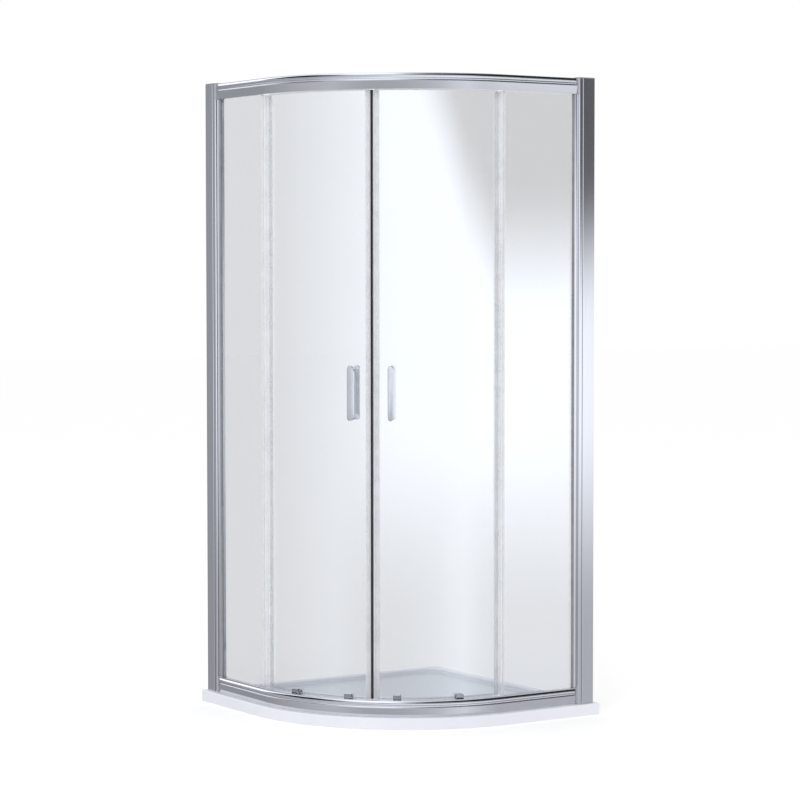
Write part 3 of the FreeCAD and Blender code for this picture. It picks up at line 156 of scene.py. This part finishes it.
def makeFinish(name, look):
    # a surface whose colour and shine drift a little, with a relief if the look has one
    material = bpy.data.materials.new(name)
    material.use_nodes = True
    tree = material.node_tree
    shader = tree.nodes["Principled BSDF"]
    for key, value in look.get("surface", {}).items():
        shader.inputs[key].default_value = value
    stretch = look.get("grain", (1, 1, 1))
    toneDetail, wearDetail = look.get("detail", (2.0, 2.0))
    least, most = look["roughness"]
    tone = addNode(tree, "ShaderNodeMapRange", {
        **cloudRange, "Value": cloudNoise(tree, look["tone"], stretch, toneDetail)},
        interpolation_type="SMOOTHSTEP")
    # numbered sockets of a Mix: 0 is the share, 6 and 7 are two colours, 2 and 3 are two values
    colour = addNode(tree, "ShaderNodeMix", {
        0: tone.outputs["Result"], 6: linearColour(look["bright"]),
        7: linearColour(look["shade"])}, data_type="RGBA")
    tree.links.new(colour.outputs[2], shader.inputs["Base Color"])
    wear = addNode(tree, "ShaderNodeMapRange", {
        **cloudRange, "Value": cloudNoise(tree, look["wear"], stretch, wearDetail),
        "To Min": least, "To Max": most}, interpolation_type="SMOOTHSTEP")
    tree.links.new(wear.outputs["Result"], shader.inputs["Roughness"])
    if "relief" in look:
        perMetre, strength, depth = look["relief"]
        bump = addNode(tree, "ShaderNodeBump", {
            "Height": cloudNoise(tree, perMetre, stretch, 2.0), "Strength": strength,
            "Distance": depth})
        tree.links.new(bump.outputs["Normal"], shader.inputs["Normal"])
    return material


def paintBasinShade(material):
    # painted shade: the tray's second, greyer colour, on what is low and looks up
    tree = material.node_tree
    baseColour = tree.nodes["Principled BSDF"].inputs["Base Color"]
    rimColour = baseColour.links[0].from_socket
    shadedFloorColour = addNode(tree, "ShaderNodeMix", {
        0: rimColour.node.inputs[0].links[0].from_socket, 6: linearColour(paintedBasinShade["bright"]),
        7: linearColour(paintedBasinShade["shade"])}, data_type="RGBA")
    place = addNode(tree, "ShaderNodeTexCoord")
    height = addNode(tree, "ShaderNodeSeparateXYZ", {"Vector": place.outputs["Object"]})
    sunken = addNode(tree, "ShaderNodeMapRange", {
        "Value": height.outputs["Z"], "From Min": paintedBasinShade["greyBelow"],
        "From Max": paintedBasinShade["whiteAbove"], "To Min": 1.0, "To Max": 0.0},
        interpolation_type="SMOOTHSTEP")
    surface = addNode(tree, "ShaderNodeNewGeometry")
    normal = addNode(tree, "ShaderNodeSeparateXYZ", {"Vector": surface.outputs["Normal"]})
    facing = addNode(tree, "ShaderNodeMapRange", {
        "Value": normal.outputs["Z"], "From Min": paintedBasinShade["sideways"], "From Max": paintedBasinShade["upward"]},
        interpolation_type="SMOOTHSTEP")
    share = addNode(tree, "ShaderNodeMath", {
        0: sunken.outputs["Result"], 1: facing.outputs["Result"]}, operation="MULTIPLY")
    both = addNode(tree, "ShaderNodeMix", {
        0: share.outputs[0], 6: rimColour, 7: shadedFloorColour.outputs[2]}, data_type="RGBA")
    tree.links.new(both.outputs[2], baseColour)


finishes = {name: makeFinish(name, look) for name, look in looks.items()}
# painted shade on the tray's sunken floor
paintBasinShade(finishes["sanitaryAcrylic"])

finishOf = {  # each slot of the record and its finish
    "tray_acrylic": "sanitaryAcrylic", "sill_seal": "paleSillVinyl",
    "frame_aluminium": "anodisedAluminiumUpright", "cap_plastic": "greyNylonCap",
    "corner_plastic": "greyAbsCorner", "gasket_rubber": "greyRubberGasket",
    "stop_rubber": "blackRubberStop", "fixed_glass": "toughenedGlassFixed",
    "door_glass": "toughenedGlassDoor", "clear_seal": "clearVinylSeal",
    "magnet_rubber": "ferriteRubber", "handle_chrome": "satinChromeGrip",
    "nut_chrome": "chromePlate", "screw_steel": "platedSteel", "bush_nylon": "naturalNylonBush",
    "roller_nylon": "whiteNylonRoller", "fork_plastic": "satinChromeFork",
}
finishOfPiece = {  # pieces that differ from the rest of their slot
    "top_rail": "anodisedAluminiumRail", "bottom_rail": "anodisedAluminiumRail",
    # painted light: the inner handles take the lighter grip copy to lift the shade behind the glass
    "inner_handle_left": "paintedLightChromeGrip", "inner_handle_right": "paintedLightChromeGrip",
}

for name, node in nodes.items():
    node.data.materials.clear()
    node.data.materials.append(finishes[finishOfPiece.get(name, finishOf[slotOf[name]])])


print("pieces finished from the frame")

edgeRounds = {  # round of the hard edges in metres, for the piece or for its left and right ones
    "wall_profile": 0.0005, "frame_stile": 0.0005, "glazing_bead": 0.0003,
    "top_rail": 0.0004, "bottom_rail": 0.0004, "wall_profile_cap": 0.0006,
    "rail_corner_top": 0.0004, "rail_corner_bottom": 0.0004, "shower_tray": 0.0,
    "outer_handle": 0.0008, "inner_handle": 0.0008, "roller_forks": 0.0009,
    "roller_nuts": 0.0005,
}
shading = {
    "weldWithin": 0.00001,  # metres
    "flatWithin": 0.4, "hardFrom": 35,  # degrees between two faces
    "roundSegments": 2,
}
bentPane = {
    "centre": (-0.1, 0.1, 0.0),  # the doors' curve is drawn about this upright line
    "curvedFrom": 0.95,  # how nearly a face must look towards or away from that line
}


def mergedCopy(nodeName, newName):
    # the node's loose triangles welded and its flat faces made whole again
    mesh = nodes[nodeName].data.copy()
    shape = bmesh.new()
    shape.from_mesh(mesh)
    bmesh.ops.remove_doubles(shape, verts=shape.verts, dist=shading["weldWithin"])
    bmesh.ops.dissolve_limit(shape, angle_limit=math.radians(shading["flatWithin"]),
                             verts=shape.verts, edges=shape.edges)
    shape.to_mesh(mesh)
    shape.free()
    mesh.name = newName
    return bpy.data.objects.new(newName, mesh)


def keepPiece(nodeName, newName):
    # a copy with its node's place, body and finish stands in for the node
    piece = mergedCopy(nodeName, newName)
    bpy.context.scene.collection.objects.link(piece)
    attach(piece, bodyOf[nodeName])
    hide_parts(nodeName)
    return piece


def smoothByAngle(piece):
    mesh = piece.data
    shape = bmesh.new()
    shape.from_mesh(mesh)
    for face in shape.faces:
        face.smooth = True
    for edge in shape.edges:
        if len(edge.link_faces) == 2:
            edge.smooth = edge.calc_face_angle(0) < math.radians(shading["hardFrom"])
    shape.to_mesh(mesh)
    shape.free()


def softenEdges(piece, width):
    # every hard edge of an extruded or moulded piece has a small round that catches the light
    bevel = piece.modifiers.new("edgeRound", "BEVEL")
    bevel.width = width
    bevel.segments = shading["roundSegments"]
    bevel.limit_method = "ANGLE"
    bevel.angle_limit = math.radians(shading["hardFrom"])


def radialNormals(piece):
    # a bent pane mirrors cleanly only if its normals point straight out from the curve's centre
    mesh = piece.data
    centre = Vector(bentPane["centre"])
    normals = []
    for face in mesh.polygons:
        for index in face.vertices:
            away = mesh.vertices[index].co - centre
            away.z = 0
            away.normalize()
            facing = away.dot(face.normal)
            if abs(facing) > bentPane["curvedFrom"]:
                normals.append(away if facing > 0 else -away)
            else:
                normals.append(face.normal.copy())
    for face in mesh.polygons:
        face.use_smooth = True
    mesh.normals_split_custom_set(normals)


for pieceName, width in edgeRounds.items():
    for nodeName in (pieceName, pieceName + "_left", pieceName + "_right"):
        if nodeName not in nodes:
            continue
        piece = keepPiece(nodeName, nodeName + "_finished")
        smoothByAngle(piece)
        if width:
            softenEdges(piece, width)
        if pieceName == "outer_handle":
            piece.visible_glossy = False  # its own dark back is not to fill the pane behind it

for nodeName in ("door_glass_left", "door_glass_right"):
    radialNormals(keepPiece(nodeName, nodeName + "_bent"))


print("studio")

studio = {
    "ambient": 0.86, "floorSize": 30.0, "floorPaint": "#fcfcfc", "floorGlow": 0.155,
    "domeRadius": 60.0, "domeHeart": 1.0,  # metres; heights on the dome are seen from its heart
    "castTint": (0.96, 0.985, 1.045),  # what mirrors see is a little cool
}
softbox = {"place": (4.0, -4.0, 4.5), "aim": (0.0, 0.0, 0.6), "size": 3.0, "watts": 80}

mirrored = {  # what mirrors see at each height, by compass angle in degrees: (angle, grey)
    "below": ((-180, .4), (-120, .45), (-80, .7), (-45, 1.2), (60, 1.3), (120, 1.0), (180, .4)),
    "low": ((-180, .34), (-150, .36), (-125, .44), (-100, .54), (-85, .58), (-60, .47), (-45, .48),
            (-36, .50), (-19, .58), (-10, .64), (-3, .74), (8, .82), (20, .66), (33, .54), (90, .5),
            (180, .34)),
    "level": ((-180, .36), (-150, .37), (-125, .47), (-100, .60), (-85, .72), (-72, .80),
              (-62, .88), (-50, 1.09), (-36, 1.15), (0, 1.18), (33, 1.28), (70, 1.0), (150, .85),
              (172, .5), (180, .36)),
    "high": ((-180, .40), (-150, .55), (-125, .95), (-100, 1.3), (-75, 1.5), (-50, 1.5), (-30, .5),
             (-10, .2), (33, .13), (90, .3), (120, .85), (160, .85), (180, .40)),
    "crown": ((-180, 1.5), (-30, 1.4), (5, 1.3), (25, .4), (33, .06), (70, .04), (100, .2),
              (125, .8), (165, .9), (180, 1.5)),
    "roof": ((-180, .5), (-167, .1), (-160, .02), (-106, .02), (-92, .9), (-75, 1.4), (-45, 1.3),
             (-33, .7), (-14, .1), (0, .03), (70, .03), (95, .1), (115, .6), (180, .6)),
    "zenith": ((-180, .6), (-100, .7), (-60, 1.0), (-30, .6), (-5, .2), (60, .2), (100, .6),
               (180, .6)),
    # two wavy lines round the dome, as shares of their highest place
    "edge": ((-180, .50), (-120, .34), (-80, .30), (-57, .34), (-38, .34), (-28, .28), (-10, .2),
             (10, .09), (33, .01), (90, .1), (180, .50)),
    "eaves": ((-180, .75), (-150, .75), (-135, .65), (-118, .48), (-100, .45), (-20, .5),
              (33, .3), (60, .3), (100, .5), (180, .5)),
}
highest = {"edge": 20.0, "eaves": 40.0}  # degrees up
layers = (  # laid over "below" in turn: greys, the line it starts from, first and last degree
    ("low", None, -34.0, -28.0), ("level", None, -8.3, -3.0), ("high", "edge", -1.2, 2.4),
    ("crown", None, 11.0, 14.0), ("roof", "eaves", 0.0, 4.0), ("zenith", None, 60.0, 68.0),
)


def makeFloor():
    shape = bmesh.new()
    bmesh.ops.create_grid(shape, x_segments=2, y_segments=2, size=studio["floorSize"])
    mesh = bpy.data.meshes.new("floor")
    shape.to_mesh(mesh)
    shape.free()
    floor = bpy.data.objects.new("floor", mesh)
    bpy.context.scene.collection.objects.link(floor)
    material = bpy.data.materials.new("paleFloor")
    material.use_nodes = True
    tree = material.node_tree
    tree.nodes.clear()
    rays = addNode(tree, "ShaderNodeLightPath")
    seen = addNode(tree, "ShaderNodeMath", {
        0: rays.outputs["Is Camera Ray"], 1: rays.outputs["Is Transmission Ray"]},
        operation="MAXIMUM")
    glow = addNode(tree, "ShaderNodeMath", {
        0: seen.outputs[0], 1: studio["floorGlow"]}, operation="MULTIPLY")
    white = addNode(tree, "ShaderNodeEmission", {
        "Color": linearColour("#ffffff"), "Strength": glow.outputs[0]})
    paint = addNode(tree, "ShaderNodeBsdfDiffuse", {"Color": linearColour(studio["floorPaint"])})
    both = addNode(tree, "ShaderNodeAddShader", {0: white.outputs[0], 1: paint.outputs[0]})
    addNode(tree, "ShaderNodeOutputMaterial", {"Surface": both.outputs[0]})
    floor.data.materials.append(material)
    floor.visible_glossy = False  # mirrors see the dome all round instead


def paintDome(tree):
    place = addNode(tree, "ShaderNodeTexCoord")
    parts = addNode(tree, "ShaderNodeSeparateXYZ", {"Vector": place.outputs["Object"]})
    angle = addNode(tree, "ShaderNodeMath", {
        0: parts.outputs["Y"], 1: parts.outputs["X"]}, operation="ARCTAN2")
    turn = addNode(tree, "ShaderNodeMapRange", {
        "Value": angle.outputs[0], "From Min": -math.pi, "From Max": math.pi}).outputs["Result"]
    height = addNode(tree, "ShaderNodeMath", {
        0: parts.outputs["Z"], 1: studio["domeHeart"]}, operation="SUBTRACT")
    slope = addNode(tree, "ShaderNodeMath", {
        0: height.outputs[0], 1: studio["domeRadius"]}, operation="DIVIDE")
    radians = addNode(tree, "ShaderNodeMath", {0: slope.outputs[0]}, operation="ARCSINE")
    rise = addNode(tree, "ShaderNodeMath", {
        0: radians.outputs[0], 1: math.degrees(1)}, operation="MULTIPLY").outputs[0]
    greys = {}
    for name, stops in mirrored.items():
        node = addNode(tree, "ShaderNodeValToRGB", {"Fac": turn})
        ramp = node.color_ramp
        while len(ramp.elements) < len(stops):
            ramp.elements.new(0.5)
        for element, (degrees, grey) in zip(ramp.elements, stops):
            element.position = (degrees + 180) / 360
            element.color = (grey, grey, grey, 1)
        greys[name] = node.outputs["Color"]
    above = {None: rise}
    for name, top in highest.items():
        line = addNode(tree, "ShaderNodeMath", {0: greys[name], 1: top}, operation="MULTIPLY")
        above[name] = addNode(tree, "ShaderNodeMath", {
            0: rise, 1: line.outputs[0]}, operation="SUBTRACT").outputs[0]
    seen = greys["below"]
    for name, line, start, full in layers:
        share = addNode(tree, "ShaderNodeMapRange", {
            "Value": above[line], "From Min": start, "From Max": full},
            interpolation_type="SMOOTHSTEP")
        seen = addNode(tree, "ShaderNodeMix", {
            0: share.outputs["Result"], 2: seen, 3: greys[name]}).outputs[0]
    tinted = addNode(tree, "ShaderNodeVectorMath", {
        0: seen, 1: studio["castTint"]}, operation="MULTIPLY")
    glow = addNode(tree, "ShaderNodeEmission", {"Color": tinted.outputs[0]})
    addNode(tree, "ShaderNodeOutputMaterial", {"Surface": glow.outputs[0]})


def makeMirroredDome():
    # a far dome that only mirrors see: it gives the glass and metal their soft greys
    shape = bmesh.new()
    bmesh.ops.create_uvsphere(shape, u_segments=64, v_segments=32, radius=studio["domeRadius"])
    for face in shape.faces:
        face.smooth = True
    mesh = bpy.data.meshes.new("mirroredDome")
    shape.to_mesh(mesh)
    shape.free()
    dome = bpy.data.objects.new("mirroredDome", mesh)
    bpy.context.scene.collection.objects.link(dome)
    dome.visible_camera = False
    dome.visible_diffuse = False
    dome.visible_transmission = False
    dome.visible_shadow = False
    dome.visible_volume_scatter = False
    material = bpy.data.materials.new("mirroredDomePaint")
    material.use_nodes = True
    material.node_tree.nodes.clear()
    paintDome(material.node_tree)
    mesh.materials.append(material)


def makeWorld():
    # eyes, mirrors and glass see white; what lights the object is a little weaker
    world = bpy.data.worlds.new("paleStudio")
    bpy.context.scene.world = world
    world.use_nodes = True
    tree = world.node_tree
    tree.nodes.clear()
    rays = addNode(tree, "ShaderNodeLightPath")
    direct = addNode(tree, "ShaderNodeMath", {
        0: rays.outputs["Is Camera Ray"], 1: rays.outputs["Is Glossy Ray"]}, operation="MAXIMUM")
    seen = addNode(tree, "ShaderNodeMath", {
        0: direct.outputs[0], 1: rays.outputs["Is Transmission Ray"]}, operation="MAXIMUM")
    strength = addNode(tree, "ShaderNodeMapRange", {
        "Value": seen.outputs[0], "To Min": studio["ambient"], "To Max": 1.0})
    back = addNode(tree, "ShaderNodeBackground", {
        "Color": linearColour("#ffffff"), "Strength": strength.outputs["Result"]})
    addNode(tree, "ShaderNodeOutputWorld", {"Surface": back.outputs[0]})


def makeSoftbox():
    light = bpy.data.lights.new("keySoftbox", "AREA")
    light.shape = "SQUARE"
    light.size = softbox["size"]
    light.energy = softbox["watts"]
    lamp = bpy.data.objects.new("keySoftbox", light)
    bpy.context.scene.collection.objects.link(lamp)
    towards = Vector(softbox["aim"]) - Vector(softbox["place"])
    lamp.location = softbox["place"]
    lamp.rotation_euler = towards.to_track_quat("-Z", "Y").to_euler()
    lamp.visible_glossy = False
    lamp.visible_camera = False


makeFloor()
makeMirroredDome()
makeWorld()
makeSoftbox()


print("camera")

view = {  # metres and radians; lens and sensor in millimetres
    "place": (6.7961, -4.4267, 1.3604), "azimuth": 0.99241648, "rise": 0.04872479,
    "roll": -0.0007038, "lens": 117.1656, "sensor": 36.0, "farthest": 200,
}


def makeCamera():
    data = bpy.data.cameras.new("frontView")
    data.sensor_width = view["sensor"]
    data.sensor_fit = "HORIZONTAL"
    data.lens = view["lens"]
    data.clip_end = view["farthest"]
    camera = bpy.data.objects.new("frontView", data)
    bpy.context.scene.collection.objects.link(camera)
    azimuth, rise = view["azimuth"], view["rise"]
    right = Vector((math.cos(azimuth), math.sin(azimuth), 0))
    back = Vector((math.sin(azimuth) * math.cos(rise), -math.cos(azimuth) * math.cos(rise),
                   math.sin(rise)))
    up = back.cross(right)
    turn = Matrix((right, up, back)).transposed() @ Matrix.Rotation(view["roll"], 3, "Z")
    camera.matrix_world = Matrix.Translation(view["place"]) @ turn.to_4x4()
    bpy.context.scene.camera = camera


makeCamera()
bpy.context.scene.view_settings.view_transform = "Standard"
